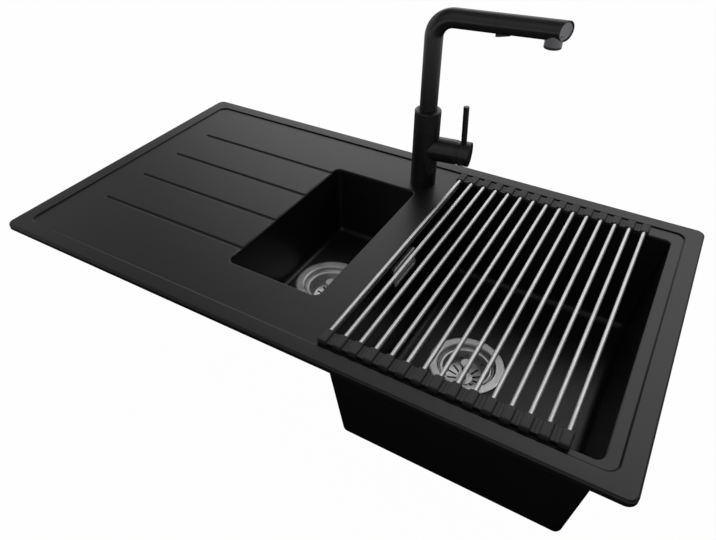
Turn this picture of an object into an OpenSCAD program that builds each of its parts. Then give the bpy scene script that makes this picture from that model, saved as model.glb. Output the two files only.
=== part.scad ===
// Inset kitchen sink in black granite composite: ribbed drainer on the left, half bowl,
// main bowl, pull-out mixer tap behind the divider and a roll-up drying rack.
// Millimetres. Origin: middle of the rim's underside, where it rests on the worktop.
// +X runs along the sink to the main bowl, +Y to the back edge, +Z up.

/* [Sink] */
// Overall length of the sink
sink_l = 910; // [860:10:1000]
// Overall width of the sink, front to back
sink_w = 500; // [490:5:540]
// Thickness of the rim and drainer plate
rim_t = 9; // [8:0.5:12]
// Radius of the sink's outer corners in plan
rim_r = 12; // [6:1:30]
// Width of the raised band around the deck
band_w = 24; // [16:1:30]
// Drop from the raised band to the deck
step_d = 2; // [1:0.5:3]
// Thickness of the bowl walls
wall = 6; // [5:0.5:8]
// Thickness of the bowl floors
floor_t = 9; // [7:0.5:12]
// Inner radius between bowl walls and floor
fillet = 12; // [6:1:18]
// Radius of the bowls' outer corners and bottom edges
outer_r = 8; // [4:1:16]

/* [Bowls] */
// Main bowl opening, left to right
main_l = 323; // [300:1:330]
// Main bowl opening, front to back
main_w = 418; // [380:1:425]
// Main bowl depth below the deck
main_h = 168; // [150:1:220]
// Radius of the main bowl's corners in plan
main_r = 9; // [6:1:30]
// Inward lean of the main bowl's walls from top to bottom
main_draft = 16; // [4:1:20]
// Gap from the main bowl to the right end of the sink
main_gap = 40; // [34:1:60]
// Half bowl opening, left to right
half_l = 148; // [146:1:170]
// Half bowl opening, front to back
half_w = 290; // [250:1:300]
// Half bowl depth below the deck
half_h = 118; // [90:1:150]
// Inward lean of the half bowl's walls from top to bottom
draft = 7; // [2:1:12]
// Distance of the half bowl's opening in front of the tap's axis
half_to_tap = 36; // [34:1:60]
// Divider between the two bowl openings
divider_w = 55; // [50:1:80]
// Distance of the main bowl's centre in front of the sink's centre line
bowl_shift = 7; // [0:1:10]

/* [Drainer] */
// Number of drainer grooves
groove_count = 4; // [2:1:4]
// Distance between grooves
groove_pitch = 80; // [50:1:85]
// Depth of a groove
groove_d = 2; // [1:0.25:3]
// Radius of a groove's round section
groove_r = 4; // [3:0.5:6]
// Left end of the grooves, from the left end of the sink
groove_inset = 71; // [50:1:120]

/* [Wastes] */
// Radius of the waste holes
waste_hole_r = 45; // [44:0.5:46]
// Outer radius of the strainer flanges
flange_r = 57; // [54:0.5:58]
// Thickness of the stamped steel sheet
sheet_t = 1.2; // [0.8:0.1:1.6]
// Inner radius of the strainer cup's mouth
cup_r = 42; // [40:0.5:42.5]
// Inner radius of the strainer cup's lower part
cup_low_r = 36; // [32:0.5:37]
// Depth of the strainer cup
cup_h = 46; // [40:1:55]
// Depth of the shoulder that carries the basket's rim
shoulder_h = 8; // [6:0.5:12]
// Distance of the main waste to the left of the main bowl's centre
main_waste_shift = 46; // [0:1:60]
// Distance of the main waste in front of the main bowl's centre
main_waste_front = 8; // [0:1:20]
// Radius of the outlet spigots
outlet_r = 23.9; // [20:0.1:24.5]
// Length of the outlet spigots
outlet_l = 28; // [20:1:40]
// Radius of the overflow hose spigots
hose_r = 10; // [8:0.5:12]

/* [Overflow] */
// Length of the slotted overflow cover
cover_l = 64; // [50:1:80]
// Height of the slotted overflow cover
cover_h = 30; // [24:1:36]
// Depth of the cover's middle below the rim's underside
cover_drop = 18; // [14:1:40]
// Distance of the cover in front of the bowl's centre line
cover_shift = 7; // [0:1:40]

/* [Tap] */
// Distance of the tap to the right of the sink's middle
tap_x = 33; // [25:1:40]
// Distance of the tap from the sink's back edge
tap_back = 76; // [70:1:80]
// Turn of the tap on the deck, anticlockwise from +X
tap_turn = 8.5; // [0:0.5:15]
// Radius of the tap hole
tap_hole_r = 17.5; // [17:0.5:18]
// Radius of the tap body
body_r = 20.5; // [20.5:0.5:24]
// Height of the tap body above the deck
body_h = 126; // [115:1:150]
// Radius of the spout tube
pipe_r = 13.5; // [12.5:0.5:14]
// Wall of the spout tube
pipe_wall = 1.5; // [1:0.25:2]
// Height of the spout arm's axis above the deck
arm_h = 264; // [240:1:300]
// Radius of the spout's bend at its centre line
bend_r = 28; // [24:1:40]
// Reach of the spout's end from the tap's axis
arm_reach = 176; // [170:1:220]
// Length of the pull-out spray head
head_l = 91.5; // [85:0.5:100]
// Radius of the spray nozzle
nozzle_r = 12; // [10:0.5:12.5]
// Height of the handle branch's axis above the deck
branch_h = 63; // [55:1:75]
// Radius of the handle branch
branch_r = 19.2; // [19:0.1:20]
// Reach of the branch's fixed part from the tap's axis
branch_l = 50; // [46:1:60]
// Reach of the handle cap's end from the tap's axis
handle_reach = 72; // [70:1:80]
// Length of the lever pin
lever_l = 58; // [40:1:80]
// Radius of the lever pin
lever_r = 4.4; // [3.5:0.1:5]
// Lean of the lever pin towards the tap body at rest, in degrees
lever_lean = 2.4; // [0:0.2:6]

/* [Rack] */
// Number of rods
rod_count = 15; // [15:1:15]
// Distance between rods
rod_pitch = 20.6; // [19:0.1:21]
// Radius of a rod
rod_r = 3; // [2.5:0.25:3.25]
// Wall of the rods' tube
rod_wall = 0.8; // [0.5:0.1:1.2]
// Length of the rack over its grips
rack_l = 439.4; // [430:0.2:446]
// Length of a grip along its rod
grip_l = 21; // [18:0.5:30]
// Width of a grip
grip_w = 12.4; // [10:0.2:14]
// Height of a grip
grip_h = 8; // [8:0.5:12]
// Distance of the first rod to the left of the main bowl
rod_lead = 3.7; // [0:0.1:10]
// Distance of the rack's middle in front of the sink's centre line
rack_shift = 2; // [0:0.1:3]

/* [Hidden] */

$fn = 64;
hull_fn = 32;
// Cut overshoot, so that no two faces coincide
eps = 0.5;
// Gap between pieces that move past each other
gap = 0.3;
// Radial clearance of a running fit
run = 0.05;

// Deck and bowls
deck_z = rim_t - step_d;
bowl_y = -bowl_shift;
main_x1 = sink_l / 2 - main_gap;
main_x = main_x1 - main_l / 2;
half_x = main_x1 - main_l - divider_w - half_l / 2;
tap_y = sink_w / 2 - tap_back;
half_y = tap_y - half_to_tap - half_w / 2;
main_floor = deck_z - main_h;
half_floor = deck_z - half_h;
half_r = 10;
half_fillet = fillet - 2;
main_left = main_x - main_l / 2;

// Wastes: the flange and its gasket lie in a counterbore of the bowl floor
main_waste = [main_x - main_waste_shift, bowl_y - main_waste_front, main_floor];
half_waste = [half_x, half_y, half_floor];
gasket_t = 1.5;
seat_d = gasket_t + sheet_t;
seat_r = flange_r + 1;
lower_gasket_t = 2;
body_top = -floor_t - lower_gasket_t;
waste_wall = 3;
waste_r = cup_r + sheet_t + 5.8;
waste_flange_r = flange_r - 2;
waste_flange_t = 4;
waste_floor_z = -cup_h - seat_d - 12;
inlet_turn = 45;
inlet_drop = 22;
spider_t = 8;
cup_hole_r = 5.5;
cup_hole_at = 15;
stopper_r = 22;
stopper_t = 4;
screw_r = 3;
screw_head_r = 8;
screw_head_h = 2;
basket_rim_r = cup_r - gap;
basket_r = cup_low_r - 3;
basket_bottom = -cup_h + 14;
knob_r = 9.5;
knob_top = 3;
knob_post_r = 3;

// Overflow, on the main bowl's left wall, which leans by draft_a
draft_a = atan(main_draft / (main_h - fillet));
cover_t = 2;
wall_back = wall + deck_z * sin(draft_a) + 0.4;
cover_y = bowl_y - cover_shift;
slot_l = cover_l - 16;
slot_h = cover_h - 14;
cover_x = main_left + (deck_z + cover_drop) * tan(draft_a);

// Rim seal
seal_w = 6;
seal_t = 1.5;
seal_in = 5;

// Tap
arm_z = deck_z + arm_h;
branch_z = deck_z + branch_h;
body_top_z = deck_z + body_h;
channel_r = 12;
inlet_r = 4;
inlet_at = [1.4, 7.6];
mixed_x = 7.6;
thread_l = 14;
hose_hole_r = 5.5;
hose_hole_x = -6.2;
duct_r = 2.5;
core_z = deck_z + 15;
shank_r = 16;
shank_spigot_r = 14;
shank_spigot_h = 10;
shank_l = 45;
washer_t = 3;
washer_r = 25;
nut_r = 26;
nut_h = 10;
bush_r = pipe_r + run + 4;
spout_bottom = body_top_z - 36;
pipe_bore = pipe_r - pipe_wall;
head_start = arm_reach - head_l;
seam = 0.6;
tail_l = 20;
tail_r = pipe_bore - gap;
nozzle_x = arm_reach - 13.5;
boss_drop = 6.5;
nozzle_h = 3;
insert_h = 7;
cap_t = 5;
button_l = 20;
button_w = 9;
button_x = head_start + 11.5;
button_out = 3.5;
button_toe = 0.5;
button_in = 3;
button_travel = 2;

// Handle: the stem's ball, the bonnet's dome and the cap's hollow share one centre
pivot_x = branch_l;
dome_r = branch_r - 0.6;
hollow_r = branch_r - 0.3;
cart_r = 14;
cart_neck_r = 10;
cart_x0 = pivot_x - 28;
cart_x1 = pivot_x - 8;
cart_end = pivot_x + 1;
bonnet_r = cart_r + 2.5;
pocket_r = 11;
pocket_x0 = pivot_x - 16.5;
pocket_x1 = pivot_x - 9;
ball_r = 6.5;
stem_r = 4;
tail_pin_r = 2.5;
tail_swing = 7;
stem_end = handle_reach - 4;
dome_end = pivot_x + 9.8;
cap_x0 = pivot_x + 5.5;
hollow_x1 = pivot_x + 14;
lever_x = pivot_x + 11;
stud_r = 2.5;
stud_l = 2;

// Rack, lying across the main bowl on the deck, or on the band where it is longer than the deck
rack_z = rack_l / 2 + rack_shift > sink_w / 2 - band_w ? rim_t : deck_z;
rack_y0 = -rack_shift - rack_l / 2;
rack_y1 = -rack_shift + rack_l / 2;
rod_z = rack_z + grip_h / 2;
rod_x1 = main_left - rod_lead;
rod_in_grip = grip_l - 5;
web_t = 2.5;
web_drop = 3;
web_in = 1;

// ---- shared shapes ----

// Plate with round corners, centred in plan
module rplate(l, w, h, r) {
    translate([-l / 2 + r, -w / 2, 0]) cube([l - 2 * r, w, h]);
    translate([-l / 2, -w / 2 + r, 0]) cube([l, w - 2 * r, h]);
    for (sx = [-1, 1], sy = [-1, 1])
        translate([sx * (l / 2 - r), sy * (w / 2 - r), 0]) cylinder(r = r, h = h);
}

// Bowl form that leans in towards its rounded floor; its mouth is at z = 0
module bowl_form(l, w, depth, r, f, lean, lip) {
    hull() {
        for (sx = [-1, 1], sy = [-1, 1]) {
            translate([sx * (l / 2 - r), sy * (w / 2 - r), 0])
                cylinder(r = r, h = lip, $fn = hull_fn);
            translate([sx * (l / 2 - lean - f), sy * (w / 2 - lean - f), f - depth])
                sphere(r = f, $fn = hull_fn);
        }
    }
}

// Ring between two radii
module ring(ro, ri, h) {
    difference() {
        cylinder(r = ro, h = h);
        translate([0, 0, -eps]) cylinder(r = ri, h = h + 2 * eps);
    }
}

// Bar with round ends along Y, lying on the plane x = 0
module y_capsule(l, h, t) {
    translate([0, -(l - h) / 2, -h / 2]) cube([t, l - h, h]);
    for (s = [-1, 1]) translate([0, s * (l - h) / 2, 0])
        rotate([0, 90, 0]) cylinder(r = h / 2, h = t);
}

module at_tap() {
    translate([tap_x, tap_y, 0]) rotate([0, 0, tap_turn]) children();
}

// Cylinder along the handle branch's axis, from reach x0 to reach x1
module branch_cyl(r, x0, x1) {
    translate([x0, 0, branch_z]) rotate([0, 90, 0]) cylinder(r = r, h = x1 - x0);
}

// Cylinder along the spout arm's axis
module arm_cyl(r, x0, x1) {
    translate([x0, 0, arm_z]) rotate([0, 90, 0]) cylinder(r = r, h = x1 - x0);
}

// Places its child on the main bowl's left wall, with +X out of the wall
module on_left_wall() {
    translate([cover_x, cover_y, -cover_drop]) rotate([0, -draft_a, 0]) children();
}

// ---- sink ----

module groove(y) {
    x0 = -sink_l / 2 + groove_inset + groove_r;
    x1 = half_x - half_l / 2 + fillet;
    translate([x0, y, deck_z - groove_d + groove_r]) {
        rotate([0, 90, 0]) cylinder(r = groove_r, h = x1 - x0);
        sphere(r = groove_r);
    }
}

module waste_cut(p) {
    translate([p[0], p[1], p[2] - floor_t - eps])
        cylinder(r = waste_hole_r, h = floor_t + 2 * eps);
    translate([p[0], p[1], p[2] - seat_d]) cylinder(r = seat_r, h = seat_d + eps);
}

module sink_body() {
    color([0.2, 0.2, 0.21]) difference() {
        union() {
            rplate(sink_l, sink_w, rim_t, rim_r);
            translate([main_x, bowl_y, 0]) bowl_form(main_l + 2 * wall, main_w + 2 * wall,
                main_h - deck_z + floor_t, outer_r, outer_r, main_draft, 1);
            translate([half_x, half_y, 0]) bowl_form(half_l + 2 * wall, half_w + 2 * wall,
                half_h - deck_z + floor_t, outer_r, outer_r, draft, 1);
        }
        translate([0, 0, deck_z])
            rplate(sink_l - 2 * band_w, sink_w - 2 * band_w, step_d + eps, rim_r + 2);
        translate([main_x, bowl_y, deck_z])
            bowl_form(main_l, main_w, main_h, main_r, fillet, main_draft, step_d + 1);
        translate([half_x, half_y, deck_z])
            bowl_form(half_l, half_w, half_h, half_r, half_fillet, draft, step_d + 1);
        for (i = [0 : groove_count - 1]) groove((i - (groove_count - 1) / 2) * groove_pitch);
        waste_cut(main_waste);
        waste_cut(half_waste);
        at_tap() translate([0, 0, -eps]) cylinder(r = tap_hole_r, h = rim_t + 2 * eps);
        on_left_wall() translate([-wall - 3, 0, 0]) y_capsule(slot_l, slot_h, wall + 6);
        seal_ring(-eps, seal_t);
    }
}

// Band just inside the rim's edge, from z0 to z1
module seal_ring(z0, z1) {
    inner = seal_in + seal_w;
    translate([0, 0, z0]) difference() {
        rplate(sink_l - 2 * seal_in, sink_w - 2 * seal_in, z1 - z0, rim_r - seal_in + 1);
        translate([0, 0, -eps])
            rplate(sink_l - 2 * inner, sink_w - 2 * inner, z1 - z0 + 2 * eps, 2);
    }
}

module rim_seal() {
    color([0.12, 0.12, 0.12]) seal_ring(0, seal_t);
}

// ---- wastes ----

// Section of the stamped strainer flange and cup, floor level at y = 0
module flange_section() {
    t = sheet_t;
    z0 = gasket_t - seat_d;
    zs = -shoulder_h - t;
    zb = z0 - cup_h;
    polygon([[cup_r, z0], [cup_r, zs + t], [cup_low_r, zs + t], [cup_low_r, zb + t],
        [screw_r + gap, zb + t], [screw_r + gap, zb], [cup_low_r + t, zb],
        [cup_low_r + t, zs], [cup_r + t, zs], [cup_r + t, z0], [flange_r, z0],
        [flange_r, z0 + t], [cup_r + 1, z0 + t], [cup_r, z0 + t - 0.6]]);
}

// Drain holes in the strainer cup's bottom
module cup_holes() {
    for (a = [0 : 60 : 300]) rotate([0, 0, a])
        translate([cup_hole_at, 0, -cup_h - seat_d - eps])
            cylinder(r = cup_hole_r, h = sheet_t + 3);
}

module strainer_flange() {
    difference() {
        rotate_extrude() flange_section();
        cup_holes();
    }
}

module strainer_flanges() {
    color([0.75, 0.75, 0.76]) {
        translate(main_waste) strainer_flange();
        translate(half_waste) strainer_flange();
    }
}

module flange_gaskets() {
    color([0.1, 0.1, 0.1]) for (p = [main_waste, half_waste])
        translate([p[0], p[1], p[2] - seat_d]) ring(flange_r - 1, waste_hole_r + 0.5, gasket_t);
}

module lower_gaskets() {
    color([0.1, 0.1, 0.1]) for (p = [main_waste, half_waste])
        translate([p[0], p[1], p[2] + body_top])
            ring(waste_flange_r - 1, waste_hole_r + 0.5, lower_gasket_t);
}

// Plastic cup under the bowl: flange, wall, floor with a spider, and outlet spigot
module waste_body() {
    difference() {
        union() {
            translate([0, 0, body_top - waste_flange_t])
                cylinder(r = waste_flange_r, h = waste_flange_t);
            translate([0, 0, waste_floor_z - waste_wall])
                cylinder(r = waste_r, h = body_top - waste_floor_z + waste_wall - 1);
            translate([0, 0, waste_floor_z - waste_wall - outlet_l])
                cylinder(r = outlet_r, h = outlet_l + 1);
        }
        translate([0, 0, waste_floor_z])
            cylinder(r = waste_r - waste_wall, h = body_top - waste_floor_z + eps);
        translate([0, 0, waste_floor_z - waste_wall - outlet_l - eps])
            cylinder(r = outlet_r - waste_wall, h = outlet_l + waste_wall + 2 * eps);
    }
    translate([0, 0, waste_floor_z - waste_wall]) {
        ring(screw_r + 3, screw_r + run, spider_t + waste_wall);
        for (a = [45 : 90 : 315]) rotate([0, 0, a])
            translate([screw_r + 1.5, -1.5, 0])
                cube([outlet_r - screw_r - 3, 3, spider_t]);
    }
}

// The main waste takes the overflow hose on a spigot behind a flat collar
module waste_body_main() {
    collar_l = 3;
    inlet_l = 18;
    root = 2.5;
    color([0.13, 0.13, 0.13]) translate(main_waste) difference() {
        union() {
            waste_body();
            to_inlet(collar_l) cylinder(r = hose_r + 2, h = collar_l + root);
            to_inlet(collar_l + inlet_l) cylinder(r = hose_r, h = collar_l + inlet_l + root);
        }
        to_inlet(collar_l + inlet_l + eps)
            cylinder(r = hose_r - 2, h = collar_l + inlet_l + 2 * waste_wall);
    }
}

// Places its child out from the waste body's side by x, with +Z into the body; the inlet
// points to the left and back, past the other bowl's waste
module to_inlet(x) {
    rotate([0, 0, -inlet_turn]) translate([-waste_r - x, 0, body_top - inlet_drop]) rotate([0, 90, 0])
        children();
}

module waste_body_half() {
    color([0.13, 0.13, 0.13]) translate(half_waste) waste_body();
}

module clamp_screw() {
    head_z = -seat_d + gasket_t - cup_h + sheet_t;
    end_z = waste_floor_z - waste_wall + 1;
    difference() {
        union() {
            translate([0, 0, head_z]) cylinder(r = screw_head_r, h = screw_head_h);
            translate([0, 0, end_z]) cylinder(r = screw_r, h = head_z - end_z + 1);
        }
        translate([-screw_head_r, -1, head_z + screw_head_h - 1])
            cube([2 * screw_head_r, 2, 1 + eps]);
    }
}

module clamp_screws() {
    color([0.72, 0.72, 0.74]) {
        translate(main_waste) clamp_screw();
        translate(half_waste) clamp_screw();
    }
}

// Perforated basket: rim on the cup's shoulder, leaning wall, slotted floor
module basket() {
    t = sheet_t;
    zr = -shoulder_h;
    zb = basket_bottom;
    hub = knob_post_r + gap;
    difference() {
        rotate_extrude() polygon([[basket_rim_r, zr], [basket_rim_r, zr + 3],
            [basket_rim_r - t, zr + 3], [basket_rim_r - t, zr + t], [basket_r + t, zr + t],
            [basket_r - 2, zb + t], [hub, zb + t], [hub, zb],
            [basket_r - 2 + t, zb], [basket_r + 2 * t, zr]]);
        for (a = [0 : 30 : 330]) rotate([0, 0, a]) translate([12, -1.5, zb - eps])
            cube([14, 3, t + 2 * eps]);
        for (a = [15 : 30 : 345]) rotate([0, 0, a]) translate([basket_r - 6, 0, -18])
            rotate([0, 90, 0]) cylinder(r = 2, h = 12);
    }
}

// Turned knob on a post through the basket, with the disc below it that closes the drain
module basket_knob() {
    zb = basket_bottom;
    recess = screw_head_r + 1.5;
    rotate_extrude() polygon([[0, knob_top], [knob_r - 1.5, knob_top], [knob_r, knob_top - 1.5],
        [knob_r, knob_top - 3], [knob_post_r, knob_top - 5], [knob_post_r, zb], [stopper_r, zb],
        [stopper_r, zb - stopper_t], [recess, zb - stopper_t], [recess, zb - 1.5],
        [0, zb - 1.5]]);
}

module basket_main() {
    color([0.78, 0.78, 0.79]) translate(main_waste) basket();
}
module basket_half() {
    color([0.78, 0.78, 0.79]) translate(half_waste) basket();
}
module basket_knob_main() {
    color([0.78, 0.78, 0.79]) translate(main_waste) basket_knob();
}
module basket_knob_half() {
    color([0.78, 0.78, 0.79]) translate(half_waste) basket_knob();
}

// ---- overflow ----

module overflow_cover() {
    rows = 3;
    row_h = 4;
    row_pitch = 8;
    color([0.8, 0.8, 0.81]) on_left_wall() difference() {
        union() {
            rotate([90, 0, 90]) rplate(cover_l, cover_h, cover_t, 3);
            for (s = [-1, 1]) translate([-wall, s * (slot_l / 2 - 5.5) - 1.5, -6])
                cube([wall + 1, 3, 12]);
        }
        for (i = [0 : rows - 1]) translate([-eps, 0, (i - (rows - 1) / 2) * row_pitch])
            y_capsule(cover_l - 10, row_h, cover_t + 2 * eps);
    }
}

// Duct behind the wall that turns down to a hose spigot
module overflow_elbow() {
    depth = 25;
    drop = 26;
    skin = 2;
    duct_h = slot_h + 2 * skin;
    spigot_x = -depth - wall_back + hose_r + 1;
    color([0.13, 0.13, 0.13]) on_left_wall() difference() {
        union() {
            translate([-wall_back - 3, 0, 0]) rotate([90, 0, 90])
                rplate(slot_l + 8, slot_h + 10, 3, 4);
            translate([-wall_back - depth, -slot_l / 2, -duct_h / 2])
                cube([depth - 1, slot_l, duct_h]);
            translate([spigot_x, 0, -duct_h / 2 - drop + 2]) cylinder(r = hose_r, h = drop);
        }
        translate([-wall_back - depth + skin, -slot_l / 2 + skin, -slot_h / 2])
            cube([depth, slot_l - 2 * skin, slot_h]);
        translate([spigot_x, 0, -duct_h / 2 - drop]) cylinder(r = hose_r - 2, h = drop + 4);
    }
}

// ---- tap ----

// Threaded port in the body's core, open downwards, with the duct above it
module tap_port(x, y) {
    translate([x, y, core_z - eps]) cylinder(r = inlet_r, h = thread_l + eps);
    translate([x, y, core_z]) cylinder(r = duct_r, h = branch_z - core_z + duct_r);
    translate([x, y, branch_z]) rotate([0, 90, 0]) cylinder(r = duct_r, h = cart_x0 - x + 1);
}

// Ports for hot, cold and mixed water, and the passage of the spray hose
module tap_ways() {
    for (s = [-1, 1]) tap_port(inlet_at[0], s * inlet_at[1]);
    tap_port(mixed_x, 0);
    translate([hose_hole_x, 0, core_z - eps])
        cylinder(r = hose_hole_r, h = spout_bottom - core_z + 2 * eps);
}

module tap_body() {
    soft = 1.5;
    color([0.08, 0.08, 0.08]) at_tap() difference() {
        union() {
            translate([0, 0, deck_z]) cylinder(r = body_r, h = body_h - soft);
            translate([0, 0, body_top_z - soft]) cylinder(r1 = body_r, r2 = body_r - soft, h = soft);
            branch_cyl(branch_r, 0, branch_l);
        }
        translate([0, 0, deck_z - eps]) cylinder(r = channel_r, h = core_z - deck_z + eps);
        translate([0, 0, deck_z - eps])
            cylinder(r = shank_spigot_r + run, h = shank_spigot_h + eps);
        translate([0, 0, spout_bottom]) cylinder(r = bush_r, h = body_h);
        branch_cyl(cart_r + gap, cart_x0, cart_x1 + eps);
        branch_cyl(bonnet_r, cart_x1, branch_l + eps);
        tap_ways();
    }
}

module tap_shank() {
    color([0.72, 0.6, 0.3]) at_tap() difference() {
        union() {
            translate([0, 0, -shank_l]) cylinder(r = shank_r, h = shank_l + deck_z);
            translate([0, 0, deck_z - 1]) cylinder(r = shank_spigot_r, h = shank_spigot_h + 1);
        }
        translate([0, 0, -shank_l - eps])
            cylinder(r = channel_r, h = shank_l + deck_z + shank_spigot_h + 2 * eps);
    }
}

module shank_washer() {
    color([0.1, 0.1, 0.1]) at_tap() translate([0, 0, -washer_t])
        ring(washer_r, shank_r + gap, washer_t);
}

module tap_locknut() {
    color([0.75, 0.62, 0.32]) at_tap() translate([0, 0, -washer_t - nut_h]) difference() {
        cylinder(r = nut_r, h = nut_h, $fn = 6);
        translate([0, 0, -eps]) cylinder(r = shank_r + run, h = nut_h + 2 * eps);
    }
}

// Upright tube, quarter bend and arm
module spout_tube() {
    lift = arm_z - bend_r;
    color([0.08, 0.08, 0.08]) at_tap() {
        translate([0, 0, spout_bottom]) ring(pipe_r, pipe_bore, lift - spout_bottom);
        translate([bend_r, 0, lift]) rotate([90, 0, 0]) rotate([0, 0, 90])
            rotate_extrude(angle = 90) translate([bend_r, 0]) difference() {
                circle(r = pipe_r);
                circle(r = pipe_bore);
            }
        difference() {
            arm_cyl(pipe_r, bend_r, head_start);
            arm_cyl(pipe_bore, bend_r - eps, head_start + eps);
        }
    }
}

module spout_bushing() {
    color([0.1, 0.1, 0.1]) at_tap() translate([0, 0, spout_bottom + 2])
        ring(bush_r, pipe_r + run, body_top_z - spout_bottom - 1.5);
}

module spray_head() {
    bore = pipe_r - 2;
    x0 = head_start + seam;
    underside = arm_z - pipe_r;
    color([0.08, 0.08, 0.08]) at_tap() difference() {
        union() {
            arm_cyl(pipe_r, x0, arm_reach);
            arm_cyl(tail_r, x0 - tail_l, x0 + 1);
            translate([nozzle_x, 0, underside - boss_drop]) cylinder(r = nozzle_r, h = pipe_r);
        }
        arm_cyl(bore, x0 + 4, arm_reach + eps);
        arm_cyl(tail_r - 3, x0 - tail_l - eps, x0 + 5);
        arm_cyl(pipe_r - 1, arm_reach - cap_t, arm_reach + eps);
        translate([nozzle_x, 0, underside - boss_drop - eps])
            cylinder(r = nozzle_r - 1.5, h = pipe_r);
        translate([button_x - button_l / 2 - gap, -button_w / 2 - gap, underside - 1])
            cube([button_l + 2 * gap, button_w + 2 * gap, 1 + button_in + button_travel + gap]);
    }
}

module spray_end_cap() {
    color([0.3, 0.3, 0.31]) at_tap() arm_cyl(pipe_r - 1, arm_reach - cap_t, arm_reach - 0.4);
}

// Rocking wedge under the head, thick at the end nearer the tap
module diverter_button() {
    h = button_l / 2;
    color([0.1, 0.1, 0.1]) at_tap() translate([button_x, button_w / 2, arm_z - pipe_r])
        rotate([90, 0, 0]) linear_extrude(height = button_w)
            polygon([[-h, -button_out], [-h, button_in], [h, button_in], [h, -button_toe],
                [3 - h, -button_out]]);
}

module spray_nozzle() {
    zb = arm_z - pipe_r - boss_drop - nozzle_h;
    color([0.2, 0.2, 0.2]) at_tap() translate([nozzle_x, 0, zb]) difference() {
        union() {
            cylinder(r = nozzle_r, h = nozzle_h);
            cylinder(r = nozzle_r - 1.5, h = nozzle_h + insert_h);
        }
        translate([0, 0, nozzle_h + 4]) cylinder(r = nozzle_r - 3.5, h = insert_h);
        translate([0, 0, -eps]) cylinder(r = nozzle_r - 3, h = 1 + eps);
    }
}

// ---- handle ----

module cartridge_body() {
    color([0.85, 0.85, 0.8]) at_tap() difference() {
        union() {
            branch_cyl(cart_r, cart_x0, cart_x1);
            branch_cyl(cart_neck_r, cart_x1 - 1, cart_end);
        }
        branch_cyl(pocket_r, pocket_x0, pocket_x1);
        branch_cyl(ball_r + gap, pocket_x1 - 1, cart_end + eps);
    }
}

// Turning disc that takes the stem's tail in a slot
module cartridge_carrier() {
    x0 = pocket_x0 + gap;
    x1 = pocket_x1 - gap;
    slot_w = 2 * tail_pin_r + 2 * gap;
    slot_floor = 1.5;
    color([0.9, 0.9, 0.85]) at_tap() difference() {
        branch_cyl(pocket_r - run, x0, x1);
        translate([x0 + slot_floor, -slot_w / 2, branch_z - tail_swing])
            cube([x1 - x0, slot_w, 2 * tail_swing]);
    }
}

module bonnet_nut() {
    seat = pivot_x + 3.8;
    color([0.75, 0.62, 0.32]) at_tap() difference() {
        union() {
            branch_cyl(bonnet_r, cart_x1, branch_l + 1);
            intersection() {
                translate([pivot_x, 0, branch_z]) rotate([0, 90, 0]) sphere(r = dome_r);
                branch_cyl(dome_r + 1, branch_l, dome_end);
            }
        }
        branch_cyl(cart_neck_r + gap, cart_x1 - eps, cart_end + gap);
        branch_cyl(ball_r + eps, pivot_x, seat + eps);
        translate([seat, 0, branch_z]) rotate([0, 90, 0])
            cylinder(r1 = ball_r - 0.9, r2 = 2 * stem_r + 0.2, h = dome_end - seat + eps);
    }
}

module cartridge_stem() {
    color([0.8, 0.8, 0.8]) at_tap() {
        translate([pivot_x, 0, branch_z]) sphere(r = ball_r);
        branch_cyl(stem_r, pivot_x, stem_end);
        branch_cyl(tail_pin_r, pivot_x - 14, pivot_x);
    }
}

module handle_cap() {
    color([0.08, 0.08, 0.08]) at_tap() difference() {
        branch_cyl(branch_r, cap_x0, handle_reach);
        intersection() {
            translate([pivot_x, 0, branch_z]) rotate([0, 90, 0]) sphere(r = hollow_r);
            branch_cyl(hollow_r + 1, cap_x0 - 1, hollow_x1);
        }
        branch_cyl(stem_r, hollow_x1 - 1, stem_end);
        lever_axis() translate([0, 0, branch_r - stud_l]) cylinder(r = stud_r, h = stud_l + 2);
    }
}

// Lever pin's own axis: z = 0 on the branch axis
module lever_axis() {
    translate([lever_x, 0, branch_z]) rotate([0, -lever_lean, 0]) children();
}

module lever_pin() {
    color([0.08, 0.08, 0.08]) at_tap() {
        difference() {
            lever_axis() translate([0, 0, branch_r - 2]) cylinder(r = lever_r, h = lever_l + 2);
            branch_cyl(branch_r, cap_x0, handle_reach);
        }
        lever_axis() translate([0, 0, branch_r - stud_l]) cylinder(r = stud_r, h = stud_l + 2);
    }
}

// ---- rack ----

function rod_x(i) = rod_x1 + (i - 1) * rod_pitch;

module rack_rod(i) {
    color([0.85, 0.85, 0.86]) translate([rod_x(i), rack_y0 + grip_l - rod_in_grip, rod_z])
        rotate([-90, 0, 0]) ring(rod_r, rod_r - rod_wall, rack_l - 2 * (grip_l - rod_in_grip));
}

// One grip with its half webs, from its outer end at y = 0 to y = grip_l
module grip(i) {
    half_web = rod_pitch / 2 - gap / 2;
    x0 = i > 1 ? -half_web : 1 - grip_w / 2;
    x1 = i < rod_count ? half_web : grip_w / 2 - 1;
    shoulder = 2.5;
    side = grip_w / 2 - shoulder;
    difference() {
        union() {
            translate([-grip_w / 2, 0, rack_z]) cube([grip_w, grip_l, grip_h - shoulder]);
            translate([-side, 0, rack_z]) cube([2 * side, grip_l, grip_h]);
            for (s = [-1, 1]) translate([s * side, 0, rack_z + grip_h - shoulder])
                rotate([-90, 0, 0]) cylinder(r = shoulder, h = grip_l);
            translate([x0, web_in, rack_z + grip_h - web_drop - web_t])
                cube([x1 - x0, grip_l - 2 * web_in, web_t]);
        }
        translate([0, grip_l - rod_in_grip, rod_z]) rotate([-90, 0, 0])
            cylinder(r = rod_r, h = grip_l);
    }
}

module rack_grips(i) {
    color([0.16, 0.16, 0.16]) translate([rod_x(i), 0, 0]) {
        translate([0, rack_y0, 0]) grip(i);
        translate([0, rack_y1, 0]) mirror([0, 1, 0]) grip(i);
    }
}

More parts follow.
